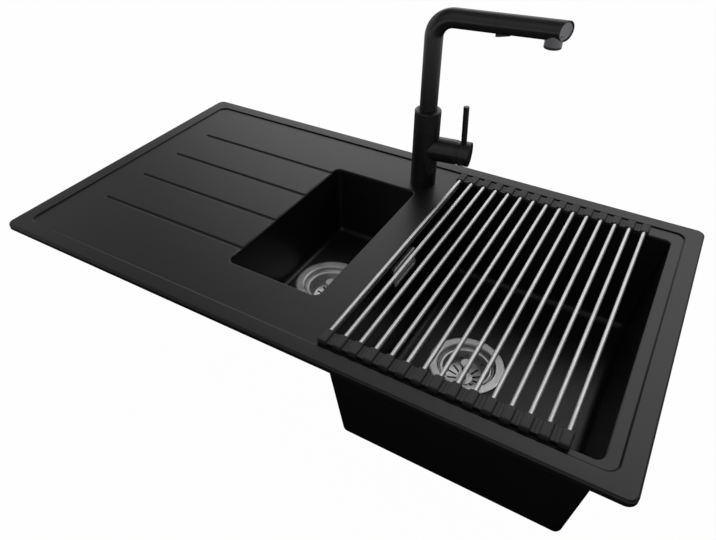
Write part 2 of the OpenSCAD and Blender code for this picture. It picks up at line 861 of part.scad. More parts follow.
sink_body();
rim_seal();
strainer_flanges();
flange_gaskets();
lower_gaskets();
waste_body_main();
waste_body_half();
clamp_screws();
basket_main();
basket_half();
basket_knob_main();
basket_knob_half();
overflow_cover();
overflow_elbow();
tap_body();
tap_shank();
shank_washer();
tap_locknut();
spout_tube();
spout_bushing();
spray_head();
spray_end_cap();
diverter_button();
spray_nozzle();
cartridge_body();
cartridge_carrier();
bonnet_nut();
cartridge_stem();
handle_cap();
lever_pin();
rack_rod(1);  // rack_rod_01
rack_rod(2);  // rack_rod_02
rack_rod(3);  // rack_rod_03
rack_rod(4);  // rack_rod_04
rack_rod(5);  // rack_rod_05
rack_rod(6);  // rack_rod_06
rack_rod(7);  // rack_rod_07
rack_rod(8);  // rack_rod_08
rack_rod(9);  // rack_rod_09
rack_rod(10);  // rack_rod_10
rack_rod(11);  // rack_rod_11
rack_rod(12);  // rack_rod_12
rack_rod(13);  // rack_rod_13
rack_rod(14);  // rack_rod_14
rack_rod(15);  // rack_rod_15
rack_grips(1);  // rack_grips_01
rack_grips(2);  // rack_grips_02
rack_grips(3);  // rack_grips_03
rack_grips(4);  // rack_grips_04
rack_grips(5);  // rack_grips_05
rack_grips(6);  // rack_grips_06
rack_grips(7);  // rack_grips_07
rack_grips(8);  // rack_grips_08
rack_grips(9);  // rack_grips_09
rack_grips(10);  // rack_grips_10
rack_grips(11);  // rack_grips_11
rack_grips(12);  // rack_grips_12
rack_grips(13);  // rack_grips_13
rack_grips(14);  // rack_grips_14
rack_grips(15);  // rack_grips_15
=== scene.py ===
"""Looks of the inset kitchen sink. Shapes are built in millimetres and scaled to metres."""
import math
from collections import namedtuple

import bmesh
import bpy
from mathutils import Matrix, Vector


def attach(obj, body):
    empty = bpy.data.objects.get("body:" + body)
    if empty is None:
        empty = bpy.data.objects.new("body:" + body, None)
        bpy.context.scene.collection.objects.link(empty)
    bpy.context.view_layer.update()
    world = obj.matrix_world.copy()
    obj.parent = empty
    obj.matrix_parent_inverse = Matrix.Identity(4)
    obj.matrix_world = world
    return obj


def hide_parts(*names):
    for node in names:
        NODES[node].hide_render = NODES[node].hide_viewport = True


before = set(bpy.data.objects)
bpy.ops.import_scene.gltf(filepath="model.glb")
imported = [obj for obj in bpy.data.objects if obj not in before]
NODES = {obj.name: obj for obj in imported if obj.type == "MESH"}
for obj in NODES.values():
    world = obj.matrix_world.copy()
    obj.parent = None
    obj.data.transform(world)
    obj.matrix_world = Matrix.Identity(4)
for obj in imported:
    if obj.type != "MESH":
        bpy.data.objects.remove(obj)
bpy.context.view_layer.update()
scene = bpy.context.scene
MM = 0.001
SCALE = Matrix.Scale(MM, 4)

# ---------------------------------------------------------------- sizes, mm
# rectangles in plan are x0, x1, y0, y1
SINK_BOX = (-455.0, 455.0, -250.0, 250.0)
RIM_T, DECK = 9.0, 7.0
RIM_R, EDGE_R = 12.0, 3.0
# step from the band down to the deck: where it ends, how wide it is and its corners
STEP_IN, STEP_RUN, STEP_R = 22.3, 3.4, 14.0
# groove for the seal under the rim
SEAL_FROM, SEAL_TO, SEAL_DEPTH = 5.0, 11.0, 1.5
WALL, FLOOR_T = 6.0, 9.0
# rounds of the bowls: lip at the deck, least corner at the floor, bottom edge and root under the plate
LIP_R, BASE_R, OUTER_R, ROOT_R = 2.6, 3.0, 8.0, 2.0

Bowl = namedtuple("Bowl", "box corner_r floor foot_r lean waste")
MAIN = Bowl((92.0, 415.0, -216.0, 202.0), 9.0, -161.0, 12.0, 16.0, (207.5, -15.0))
HALF = Bowl((-111.0, 37.0, -152.0, 138.0), 10.0, -111.0, 10.0, 7.0, (-37.0, -7.0))
# seat of a waste's flange in the floor, and its hole
SEAT_R, HOLE_R, SEAT_DEPTH = 58.0, 45.0, 2.7

GROOVES_Y = (-120.0, -40.0, 40.0, 120.0)
GROOVE_X0, GROOVE_X1 = -380.0, -105.0

TAP = (33.0, 174.0)
TURN = 8.5
TAP_HOLE_R = 17.5
ARM_Z, BRANCH_Z = 271.0, 70.0
BODY_R, BRANCH_R, SPOUT_R = 20.5, 19.2, 13.5
BODY_TOP = 133.0
HEAD_X, HEAD_L = 65.1, 111.5
END_X = 171.0
END_SLANT = 30.0
OUTLET_X = 162.5
BUTTON_X = 96.0
PIVOT = 50.0
LEVER_X, LEVER_LEAN, LEVER_R = 61.0, -2.4, 4.4

RODS = 15
PITCH, ROD_X1, ROD_R, ROD_Z = 20.6, 88.3, 3.0, 11.0
RACK_Y0, RACK_Y1 = -221.7, 217.7
ROD_INSET = 5.0
GRIP_L, GRIP_HALF, GRIP_TOP = 21.0, 6.2, 15.0
WEB_BOTTOM, WEB_TOP, WEB_END, WEB_GAP = 9.5, 12.0, 5.2, 0.06


# ---------------------------------------------------------------- arithmetic
def sin_deg(a):
    return math.sin(math.radians(a))


def cos_deg(a):
    return math.cos(math.radians(a))


def shift(x, y, z):
    return Matrix.Translation((x, y, z))


def turn(degrees, axis):
    return Matrix.Rotation(math.radians(degrees), 4, axis)


def wall_slope(bowl):
    """How far a bowl's wall leans in for each millimetre down."""
    return bowl.lean / (DECK - bowl.floor - bowl.foot_r)


MAIN_SLOPE = wall_slope(MAIN)
TAP_M = shift(*TAP, 0) @ turn(TURN, "Z")
COVER_Y, COVER_Z = -14.0, -18.0
COVER_X = MAIN.box[0] + (DECK - COVER_Z) * MAIN_SLOPE
COVER_M = shift(COVER_X, COVER_Y, COVER_Z) @ Matrix.Rotation(-math.atan(MAIN_SLOPE), 4, "Y")
ALONG_X = turn(90, "Y")


def on_arm(z, x=0.0):
    """Matrix that turns a lathe's Z axis along the tap's reach, at height z."""
    return TAP_M @ shift(x, 0, z) @ ALONG_X


# ---------------------------------------------------------------- outlines
def grow(box, by):
    return (box[0] - by, box[1] + by, box[2] - by, box[3] + by)


def rrect(box, r, z, n=12):
    """Loop round a rectangle with round corners."""
    x0, x1, y0, y1 = box
    corners = (
        (x1 - r, y1 - r, 0),
        (x0 + r, y1 - r, 90),
        (x0 + r, y0 + r, 180),
        (x1 - r, y0 + r, 270),
    )
    pts = []
    for cx, cy, start in corners:
        for k in range(n + 1):
            a = start + 90 * k / n
            pts.append((cx + r * cos_deg(a), cy + r * sin_deg(a), z))
    return pts


def circle(cx, cy, r, z, n=96):
    pts = []
    for k in range(n):
        a = 2 * math.pi * k / n
        pts.append((cx + r * math.cos(a), cy + r * math.sin(a), z))
    return pts


def arc(r, angles):
    """Points on a circle about the origin."""
    return [(r * cos_deg(a), r * sin_deg(a)) for a in angles]


def slot_outline(r, half, y, step):
    """Closed outline of a slot with round ends, along the first axis at height y on the second."""
    pts = []
    for k in range(0, 360, step):
        c, s = cos_deg(k + 0.5), sin_deg(k + 0.5)
        pts.append((r * c + math.copysign(half, c), y + r * s))
    return pts


def fillet(pts, step=12.0):
    """Rounds the corners of a closed outline of (x, y, radius) points; radius 0 stays sharp."""
    out = []
    n = len(pts)
    for i, (x, y, r) in enumerate(pts):
        if r <= 0:
            out.append((x, y))
            continue
        before, corner, after = Vector(pts[i - 1][:2]), Vector((x, y)), Vector(pts[(i + 1) % n][:2])
        a, b = before - corner, after - corner
        la, lb = a.length, b.length
        a.normalize()
        b.normalize()
        half = a.angle(b) / 2
        d = min(r / math.tan(half), 0.49 * la, 0.49 * lb)
        r = d * math.tan(half)
        c = corner + (a + b).normalized() * (r / math.sin(half))
        s, e = corner + a * d - c, corner + b * d - c
        sweep = s.angle_signed(e)
        parts = max(2, int(math.ceil(abs(math.degrees(sweep)) / step)))
        start = math.atan2(s.y, s.x)
        for j in range(parts + 1):
            t = start - sweep * j / parts
            out.append((c.x + r * math.cos(t), c.y + r * math.sin(t)))
    return out


# ---------------------------------------------------------------- mesh tools
# a quarter turn in three steps, radians
BEVEL_ANGLES = (0.0, 0.52, 1.05, 1.57)
# distance within which points are joined, mm
WELD = 1e-4


class Build:
    """A mesh in the making, in millimetres."""

    def __init__(self):
        self.bm = bmesh.new()

    def ring(self, pts):
        return [self.bm.verts.new(p) for p in pts]

    def bridge(self, a, b):
        n = len(a)
        for i in range(n):
            j = (i + 1) % n
            self.bm.faces.new((a[i], a[j], b[j], b[i]))

    def skin(self, loops):
        rings = [self.ring(p) for p in loops]
        for a, b in zip(rings, rings[1:]):
            self.bridge(a, b)
        return rings

    def closed_skin(self, loops):
        """Skins loops and caps both ends."""
        rings = self.skin(loops)
        self.cap(rings[0], True)
        self.cap(rings[-1])

    def cap(self, ring, flip=False):
        self.bm.faces.new(list(reversed(ring)) if flip else ring)

    def fill(self, rings):
        """Fills the flat between rings."""
        edges = []
        for ring in rings:
            for i in range(len(ring)):
                pair = (ring[i], ring[(i + 1) % len(ring)])
                edges.append(self.bm.edges.get(pair) or self.bm.edges.new(pair))
        bmesh.ops.triangle_fill(self.bm, use_beauty=True, use_dissolve=False, edges=edges)

    def turned_ring(self, r, z, m, n):
        if r < 1e-6:
            return self.ring([m @ Vector((0, 0, z))])
        return self.ring([m @ Vector(p) for p in circle(0, 0, r, z, n)])

    def lathe(self, profile, m=Matrix(), n=64, closed=False):
        """Turns (radius, height) points about Z; radius 0 is a pole."""
        rings = [self.turned_ring(r, z, m, n) for r, z in profile]
        pairs = list(zip(rings, rings[1:]))
        if closed:
            pairs.append((rings[-1], rings[0]))
        for a, b in pairs:
            if len(a) == 1 and len(b) == 1:
                continue
            if len(a) == 1:
                for i in range(n):
                    self.bm.faces.new((a[0], b[(i + 1) % n], b[i]))
            elif len(b) == 1:
                for i in range(n):
                    self.bm.faces.new((a[i], a[(i + 1) % n], b[0]))
            else:
                self.bridge(a, b)

    def extrude(self, outline, m, x0, x1, bevel=0.0):
        """Pushes a closed (y, z) outline along X, its ends drawn in by the bevel."""
        cy = sum(p[0] for p in outline) / len(outline)
        cz = sum(p[1] for p in outline) / len(outline)
        w = max(abs(p[0] - cy) for p in outline)
        h = max(abs(p[1] - cz) for p in outline)
        stations = [(x0, 0.0), (x1, 0.0)]
        if bevel:
            drawn = [(bevel * (1 - math.cos(a)), bevel * (1 - math.sin(a))) for a in BEVEL_ANGLES]
            stations = [(x0 + i, o) for i, o in drawn] + [(x1 - i, o) for i, o in reversed(drawn)]
        loops = []
        for x, o in stations:
            ky, kz = (w - o) / w, (h - o) / h
            loops.append([m @ Vector((x, cy + (y - cy) * ky, cz + (z - cz) * kz)) for y, z in outline])
        self.closed_skin(loops)

    def cutter(self, name):
        """Finishes the mesh as a cutter, which stays in millimetres."""
        ob = self.done(name)
        ob.data.transform(SCALE.inverted())
        return ob

    def done(self, name, angle=32.0, cutters=(), weld=True):
        """Finishes the mesh as an object; edges sharper than the angle stay sharp."""
        if weld:
            bmesh.ops.remove_doubles(self.bm, verts=self.bm.verts, dist=WELD)
        bmesh.ops.recalc_face_normals(self.bm, faces=self.bm.faces)
        me = bpy.data.meshes.new(name)
        self.bm.to_mesh(me)
        self.bm.free()
        ob = bpy.data.objects.new(name, me)
        scene.collection.objects.link(ob)
        if cutters:
            cut_away(ob, cutters)
        ob.data.transform(SCALE)
        for p in ob.data.polygons:
            p.use_smooth = True
        ob.data.set_sharp_from_angle(angle=math.radians(angle))
        mod = ob.modifiers.new("wn", "WEIGHTED_NORMAL")
        mod.keep_sharp = True
        mod.weight = 80
        bake(ob)
        return ob


def cut_away(ob, cutters):
    """Takes the cutters out of an object and deletes them."""
    for c in cutters:
        mod = ob.modifiers.new("cut", "BOOLEAN")
        mod.operation = "DIFFERENCE"
        mod.solver = "EXACT"
        mod.object = c
    bake(ob)
    for c in cutters:
        bpy.data.objects.remove(c, do_unlink=True)


def bake(ob):
    """Applies an object's modifiers."""
    dg = bpy.context.evaluated_depsgraph_get()
    dg.update()
    me = bpy.data.meshes.new_from_object(ob.evaluated_get(dg), preserve_all_data_layers=True, depsgraph=dg)
    ob.modifiers.clear()
    old = ob.data
    ob.data = me
    bpy.data.meshes.remove(old)


# ---------------------------------------------------------------- node tools
# the part of a noise that carries the change from one value to the other
MIDDLE = (0.3, 0.7)


def put(nt, value, socket):
    """Links a socket, or writes a number, a colour or a vector."""
    if hasattr(value, "is_output"):
        nt.links.new(value, socket)
    elif isinstance(value, tuple) and socket.type == "RGBA":
        socket.default_value = (*value, 1)
    else:
        socket.default_value = value


def math_node(nt, op, a, b=0.0):
    """One arithmetic node; a and b are numbers or sockets."""
    n = nt.nodes.new("ShaderNodeMath")
    n.operation = op
    put(nt, a, n.inputs[0])
    put(nt, b, n.inputs[1])
    return n.outputs[0]


def vector_node(nt, op, a, b=None):
    """One vector arithmetic node; b is a plain vector."""
    n = nt.nodes.new("ShaderNodeVectorMath")
    n.operation = op
    put(nt, a, n.inputs[0])
    if b:
        put(nt, b, n.inputs[1])
    return n


def map_node(nt, value, lo, hi, start=0.0, end=1.0, soft=False):
    """Maps a value from start..end to lo..hi."""
    n = nt.nodes.new("ShaderNodeMapRange")
    if soft:
        n.interpolation_type = "SMOOTHSTEP"
    n.inputs["From Min"].default_value = start
    n.inputs["From Max"].default_value = end
    n.inputs["To Min"].default_value = lo
    n.inputs["To Max"].default_value = hi
    nt.links.new(value, n.inputs["Value"])
    return n.outputs["Result"]


def camera_switch(nt, others, camera):
    """Mixes two shaders: the camera sees one, all other rays the other."""
    path = nt.nodes.new("ShaderNodeLightPath")
    mix = nt.nodes.new("ShaderNodeMixShader")
    nt.links.new(path.outputs["Is Camera Ray"], mix.inputs[0])
    nt.links.new(others, mix.inputs[1])
    nt.links.new(camera, mix.inputs[2])
    return mix.outputs[0]


class Mat:
    """A node material with short calls for its parts."""

    SOCKETS = {
        "color": "Base Color", "metal": "Metallic", "rough": "Roughness", "normal": "Normal",
        "spec": "Specular IOR Level",
    }

    def __init__(self, name):
        self.m = bpy.data.materials.new(name)
        self.m.use_nodes = True
        self.nt = self.m.node_tree
        self.bsdf = self.nt.nodes["Principled BSDF"]
        self.obj = self.nt.nodes.new("ShaderNodeTexCoord").outputs["Object"]

    def noise(self, scale, detail=3.0, rough=0.55, stretch=None):
        n = self.nt.nodes.new("ShaderNodeTexNoise")
        n.inputs["Scale"].default_value = scale
        n.inputs["Detail"].default_value = detail
        n.inputs["Roughness"].default_value = rough
        where = self.obj
        if stretch:
            mapping = self.nt.nodes.new("ShaderNodeMapping")
            mapping.inputs["Scale"].default_value = stretch
            self.nt.links.new(where, mapping.inputs["Vector"])
            where = mapping.outputs["Vector"]
        self.nt.links.new(where, n.inputs["Vector"])
        return n.outputs["Fac"]

    def ramp(self, fac, lo, lo_value, hi, hi_value):
        """Grey that runs from one value to another between two places."""
        r = self.nt.nodes.new("ShaderNodeValToRGB")
        for stop, place_at, value in zip(r.color_ramp.elements, (lo, hi), (lo_value, hi_value)):
            stop.position = place_at
            stop.color = (value, value, value, 1)
        self.nt.links.new(fac, r.inputs["Fac"])
        return r.outputs["Color"]

    def mix(self, fac, a, b):
        n = self.nt.nodes.new("ShaderNodeMix")
        n.data_type = "RGBA"
        for value, socket in ((fac, n.inputs[0]), (a, n.inputs[6]), (b, n.inputs[7])):
            put(self.nt, value, socket)
        return n.outputs[2]

    def mapped(self, fac, lo, hi, start=0.0, end=1.0):
        return map_node(self.nt, fac, lo, hi, start, end)

    def wide_mix(self, a, b, scale, middle=MIDDLE):
        """Two colours in soft clouds, and the noise that mixes them."""
        wide = self.noise(scale, 3.0, 0.5)
        return self.mix(self.mapped(wide, 0.0, 1.0, *middle), a, b), wide

    def bump(self, height, strength, dist, normal=None):
        b = self.nt.nodes.new("ShaderNodeBump")
        b.inputs["Strength"].default_value = strength
        b.inputs["Distance"].default_value = dist
        self.nt.links.new(height, b.inputs["Height"])
        if normal:
            self.nt.links.new(normal, b.inputs["Normal"])
        return b.outputs["Normal"]

    def set(self, **values):
        for key, value in values.items():
            put(self.nt, value, self.bsdf.inputs[self.SOCKETS[key]])
        return self.m


# ---------------------------------------------------------------- materials
def granite():
    """Black composite with fine grain, barely lighter and darker flecks, and painted shade on the step."""
    k = Mat("granite_composite")
    fine = k.noise(2300.0, 2.0, 0.6)
    flecks = k.noise(1100.0, 3.0, 0.7)
    cloud = k.noise(9.0, 4.0, 0.5)
    base = k.mix(k.mapped(cloud, 0.0, 1.0, *MIDDLE), (0.0062, 0.0062, 0.0064), (0.0080, 0.0078, 0.0078))
    base = k.mix(k.ramp(fine, 0.52, 0, 0.66, 1), base, (0.016, 0.016, 0.016))
    base = k.mix(k.ramp(flecks, 0.30, 1, 0.40, 0), base, (0.003, 0.003, 0.003))
    grain = k.bump(fine, 0.16, 0.00025)
    grain = k.bump(k.noise(420.0, 3.0, 0.6), 0.06, 0.0006, grain)
    rough = k.mapped(fine, 0.32, 0.46, *MIDDLE)
    # painted shade: the step turns to dark metal, which barely shines, so it reads as a dark line where
    # shade falls
    metal = k.mapped(painted_step_shade(k), 0.0, 0.9)
    return k.set(color=base, rough=rough, metal=metal, normal=grain, spec=0.5)


def painted_step_shade(k):
    """1 on the step between the raised band and the sunk deck, where shade is painted, 0 elsewhere."""
    inside_x, inside_y = 440.0, 235.0
    xyz = k.nt.nodes.new("ShaderNodeSeparateXYZ")
    k.nt.links.new(k.obj, xyz.inputs[0])
    height = xyz.outputs["Z"]
    above = k.mapped(height, 0.0, 1.0, (DECK + 0.02) * MM, (DECK + 0.35) * MM)
    below = k.mapped(height, 1.0, 0.0, (RIM_T - 0.5) * MM, (RIM_T - 0.05) * MM)
    mask = math_node(k.nt, "MULTIPLY", above, below)
    for axis, limit in (("X", inside_x), ("Y", inside_y)):
        inside = math_node(k.nt, "LESS_THAN", math_node(k.nt, "ABSOLUTE", xyz.outputs[axis]), limit * MM)
        mask = math_node(k.nt, "MULTIPLY", mask, inside)
    return mask


def tap_black():
    k = Mat("tap_matte_black")
    fine = k.noise(1800.0, 2.0, 0.6)
    color, wide = k.wide_mix((0.010, 0.010, 0.0104), (0.013, 0.013, 0.0134), 30.0, (0.35, 0.65))
    rough = k.mapped(wide, 0.25, 0.33, *MIDDLE)
    return k.set(color=color, rough=rough, normal=k.bump(fine, 0.08, 0.0001), spec=0.6)


def brushed(name, color, rough, scale, bump, stretch=None, metal=1.0):
    """Metal with fine marks; rough is the lowest and the highest roughness."""
    k = Mat(name)
    fine = k.noise(scale, 3.0, 0.65, stretch)
    dim = tuple(c * 0.86 for c in color)
    mixed, _ = k.wide_mix(dim, color, 40.0)
    marks = k.bump(fine, bump, 0.0001)
    return k.set(color=mixed, metal=metal, rough=k.mapped(fine, *rough, *MIDDLE), normal=marks)


def turned_steel(name, color, centre, rough):
    """Steel with rings of fine turning marks about a vertical axis."""
    k = Mat(name)
    offset = vector_node(k.nt, "SUBTRACT", k.obj, tuple(c * MM for c in centre))
    flat = vector_node(k.nt, "MULTIPLY", offset.outputs[0], (1, 1, 0))
    radius = vector_node(k.nt, "LENGTH", flat.outputs[0])
    rings = k.nt.nodes.new("ShaderNodeTexNoise")
    rings.noise_dimensions = "1D"
    rings.inputs["Scale"].default_value = 2600.0
    rings.inputs["Detail"].default_value = 3.0
    k.nt.links.new(radius.outputs["Value"], rings.inputs["W"])
    dim = tuple(c * 0.85 for c in color)
    mixed, wide = k.wide_mix(dim, color, 60.0)
    marks = k.bump(rings.outputs["Fac"], 0.30, 0.0002)
    return k.set(color=mixed, metal=1.0, rough=k.mapped(wide, *rough, *MIDDLE), normal=marks)


def moulded(name, a, b, rough, scale=700.0, bump=0.1):
    """Plastic or rubber between two colours; rough is the lowest and the highest roughness."""
    k = Mat(name)
    fine = k.noise(scale, 3.0, 0.6)
    mixed, _ = k.wide_mix(a, b, 25.0)
    grain = k.bump(fine, bump, 0.0002)
    return k.set(color=mixed, rough=k.mapped(fine, *rough, *MIDDLE), normal=grain, spec=0.5)


def grey(value):
    return (value, value, value)


M_GRANITE = granite()
M_TAP = tap_black()
M_ROD = brushed("rod_steel", (0.74, 0.74, 0.75), (0.38, 0.48), 2500.0, 0.04, (1, 0.02, 1))
M_CAP = brushed("end_cap_metal", (0.22, 0.22, 0.23), (0.30, 0.40), 1200.0, 0.05)
M_CHROME = brushed("cover_chrome", (0.90, 0.90, 0.92), (0.42, 0.52), 500.0, 0.02, metal=0.3)
M_STEEL = brushed("plain_steel", (0.62, 0.62, 0.63), (0.28, 0.42), 900.0, 0.06)
M_BRASS = brushed("brass", (0.66, 0.47, 0.20), (0.28, 0.42), 900.0, 0.06)
# painted light: both flanges are the same steel; the half bowl's is given a lighter colour, 0.92 against
# 0.82, for the brighter light on it
M_FLANGE_M = turned_steel("flange_steel_main", (0.82, 0.82, 0.83), (*MAIN.waste, MAIN.floor), (0.34, 0.44))
M_FLANGE_H_PAINTED_LIGHT = turned_steel("flange_steel_half_painted_light", (0.92, 0.92, 0.93), (*HALF.waste, HALF.floor), (0.34, 0.46))
M_GRIP = moulded("grip_silicone", (0.031, 0.030, 0.031), (0.040, 0.039, 0.040), (0.5, 0.62), 900.0, 0.08)
M_SEAL = moulded("seal_rubber", grey(0.014), grey(0.022), (0.6, 0.75))
M_WASTE = moulded("waste_plastic", (0.013, 0.013, 0.014), (0.020, 0.020, 0.021), (0.38, 0.5))
M_TRIM = moulded("trim_plastic", grey(0.010), grey(0.015), (0.36, 0.46))
M_CERAMIC = moulded("cartridge_plastic", (0.62, 0.61, 0.56), (0.72, 0.71, 0.66), (0.25, 0.35))


def paint(ob, mat):
    ob.data.materials.clear()
    ob.data.materials.append(mat)


def place(ob, body, slot, mat, *nodes):
    """Paints a piece, hangs it on the body it rides and hides the nodes it replaces; the slot is not used.
    """
    paint(ob, mat)
    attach(ob, body)
    if nodes:
        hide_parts(*nodes)


# ---------------------------------------------------------------- sink
def rim_skin(b):
    """From the deck up the step, over the band and the edge, and round the seal's groove."""
    def loop(inset, r, z):
        return rrect(grow(SINK_BOX, -inset), r, z)

    loops = []
    for k in range(9):
        t = 1 - k / 8
        soft = t * t * (3 - 2 * t)
        loops.append(loop(STEP_IN + STEP_RUN * t, STEP_R, RIM_T - (RIM_T - DECK) * soft))
    loops.append(loop(12.0, RIM_R, RIM_T))
    for k in range(7):
        a = 90 * k / 6
        inset, drop = EDGE_R * (1 - sin_deg(a)), EDGE_R * (1 - cos_deg(a))
        loops.append(loop(inset, RIM_R - 2.5 * (1 - sin_deg(a)), RIM_T - drop))
    loops += [loop(0, RIM_R, 0.6), loop(0.6, 11.4, 0.0)]
    loops += [loop(SEAL_FROM, 8.0, 0.0), loop(SEAL_FROM, 8.0, SEAL_DEPTH)]
    loops += [loop(SEAL_TO, 2.0, SEAL_DEPTH), loop(SEAL_TO, 2.0, 0.0)]
    return b.skin(loops)


def bowl_inside(bowl):
    """Loops from the deck over the lip, down the leaning wall and round the foot to the floor."""
    slope = wall_slope(bowl)
    tilt = math.degrees(math.atan(slope))
    foot_top = bowl.floor + bowl.foot_r
    loops = []
    for k in range(8):
        a = 90 * k / 7
        out = LIP_R * (1 - sin_deg(a))
        loops.append(rrect(grow(bowl.box, out), bowl.corner_r + out, DECK - LIP_R * (1 - cos_deg(a))))
    for k in range(1, 5):
        z = DECK - LIP_R + (foot_top - DECK + LIP_R) * k / 5
        loops.append(rrect(grow(bowl.box, -(DECK - z) * slope), bowl.corner_r, z))
    for k in range(11):
        a = tilt + (90 - tilt) * k / 10
        inset = bowl.lean + bowl.foot_r - bowl.foot_r * cos_deg(a)
        r = max(bowl.foot_r * cos_deg(a), 0) + BASE_R + (bowl.corner_r - bowl.foot_r - BASE_R) * (1 - k / 10)
        loops.append(rrect(grow(bowl.box, -inset), r, foot_top - bowl.foot_r * sin_deg(a)))
    return loops


def waste_seat(bowl):
    """Loops from the floor into the flange's seat and through the waste's hole."""
    steps = (
        (SEAT_R + 1.2, 0.0),
        (SEAT_R + 0.4, 0.25),
        (SEAT_R, 0.9),
        (SEAT_R, SEAT_DEPTH),
        (HOLE_R, SEAT_DEPTH),
        (HOLE_R, FLOOR_T),
    )
    return [circle(*bowl.waste, r, bowl.floor - depth) for r, depth in steps]


def bowl_outside(bowl):
    """Loops from the underside round the bottom edge and up to the plate."""
    tilt = math.degrees(math.atan(wall_slope(bowl)))
    shell = grow(bowl.box, WALL)
    least_r = 1.5
    loops = []
    for k in range(11):
        a = 90 - (90 - tilt) * k / 10
        inset = bowl.lean + OUTER_R - OUTER_R * cos_deg(a)
        z = bowl.floor - FLOOR_T + OUTER_R - OUTER_R * sin_deg(a)
        loops.append(rrect(grow(shell, -inset), OUTER_R * cos_deg(a) + least_r, z))
    for k in range(6):
        a = 90 * k / 5
        out, down = ROOT_R * (1 - cos_deg(a)), ROOT_R * (1 - sin_deg(a))
        loops.append(rrect(grow(shell, out), OUTER_R + least_r, -down))
    return loops


def bowl_skin(b, bowl):
    """Builds one bowl and returns its rings at the deck and at the plate's underside."""
    inner = b.skin(bowl_inside(bowl))
    seat = b.skin(waste_seat(bowl))
    b.fill([inner[-1], seat[0]])
    under = b.skin(bowl_outside(bowl))
    b.fill([seat[-1], under[0]])
    return inner[0], under[-1]


def groove_cutters():
    """A round channel with soft shoulders for each groove, and its turned left end."""
    half = [(0.0, 5.0)] + [(4 * sin_deg(a), 9 - 4 * cos_deg(a)) for a in range(8, 53, 4)]
    half += [(4.10 - 1.2 * sin_deg(a), 5.8 + 1.2 * cos_deg(a)) for a in (48, 38, 28, 18, 8)]
    half += [(4.25, 7.02), (4.4, 10.0)]
    bars, ends = Build(), Build()
    for y in GROOVES_Y:
        outline = [(y + p, z) for p, z in half] + [(y - p, z) for p, z in reversed(half[1:])]
        bars.closed_skin([[(x, p, z) for p, z in outline] for x in (GROOVE_X0, GROOVE_X1)])
        ends.lathe(half + [(0.0, 10.0)], shift(GROOVE_X0, y, 0), 48)
    return [bars.cutter("groove_bars"), ends.cutter("groove_ends")]


def overflow_cutter():
    hole = Build()
    slot = slot_outline(8, 16, 0, 9)
    hole.closed_skin([[COVER_M @ Vector((x, p, z)) for p, z in slot] for x in (-12.0, 6.0)])
    return hole.cutter("overflow_hole")


def sink():
    b = Build()
    edge = rim_skin(b)
    main_top, main_bottom = bowl_skin(b, MAIN)
    half_top, half_bottom = bowl_skin(b, HALF)
    tap_hole = ((TAP_HOLE_R + 0.5, DECK), (TAP_HOLE_R, DECK - 0.5), (TAP_HOLE_R, 0))
    tap = b.skin([circle(*TAP, r, z) for r, z in tap_hole])
    b.fill([edge[0], main_top, half_top, tap[0]])
    b.fill([edge[-1], main_bottom, half_bottom, tap[-1]])
    ob = b.done("sink_shell", 28.0, groove_cutters() + [overflow_cutter()])
    place(ob, "sink", "granite", M_GRANITE, "sink_body")


# ---------------------------------------------------------------- wastes
# profiles are (radius, height above the bowl's floor, rounding)
FLANGE = fillet([
    (57, -1.2, 0), (57, -0.2, 0.5), (54.5, 0.25, 1.5), (44.5, 0.1, 2.0), (42.3, -1.4, 1.0),
    (42.0, -8.0, 1.2), (36.0, -8.4, 1.0), (35.6, -46.0, 4.0), (3.3, -46.0, 0),
    (3.3, -47.2, 0), (36.9, -47.2, 5.0), (37.2, -9.4, 1.5), (43.2, -9.2, 1.5), (43.4, -1.3, 1.0),
])
BASKET = fillet([
    (41.6, -8.0, 0.5), (41.6, -5.2, 0.8), (40.2, -5.0, 0.8), (38.6, -6.8, 1.0), (34.6, -7.0, 1.8),
    (31.5, -27.0, 6.0), (12.0, -30.6, 2.0), (3.4, -30.2, 0), (3.4, -31.6, 0), (12.0, -31.9, 2.0),
    (32.6, -28.4, 6.0), (35.7, -8.3, 1.5),
])
KNOB = fillet([
    (0, 3.0, 0), (8.6, 3.0, 1.4), (9.5, 1.2, 0.8), (9.0, -0.6, 0.8), (4.6, -2.2, 1.2), (3.0, -6.0, 1.5),
    (3.0, -31.9, 0), (0, -31.9, 0),
])
PLUG = fillet([
    (3.0, -32.0, 0), (21.0, -32.0, 0.8), (22.0, -33.4, 0.8), (21.4, -36.0, 0.8), (18.0, -36.0, 0.5),
    (16.5, -34.2, 0.5), (10.5, -34.2, 0.5), (9.6, -36.0, 0.5), (9.5, -33.6, 0.4), (3.0, -33.5, 0),
])
DRAINS, DRAIN_R, DRAIN_RING = 6, 5.5, 15
SLOTS, SLOT_HALF = 12, 1.5
BORE = [(0, 26), (1.9, 26), (1.9, 44), (0, 44)]


def flange(m, tag, mat):
    """Flange with a rolled edge, and the cup with its shoulder and drain holes."""
    b = Build()
    b.lathe(FLANGE, m, 96, closed=True)
    drains = Build()
    for k in range(DRAINS):
        a = 360 / DRAINS * k
        at = m @ shift(DRAIN_RING * cos_deg(a), DRAIN_RING * sin_deg(a), 0)
        drains.lathe([(0, -50), (DRAIN_R, -50), (DRAIN_R, -42), (0, -42)], at, 24)
    ob = b.done("strainer_flange_" + tag, 40.0, [drains.cutter("drains")])
    place(ob, "sink", "strainer", mat, "strainer_flanges")


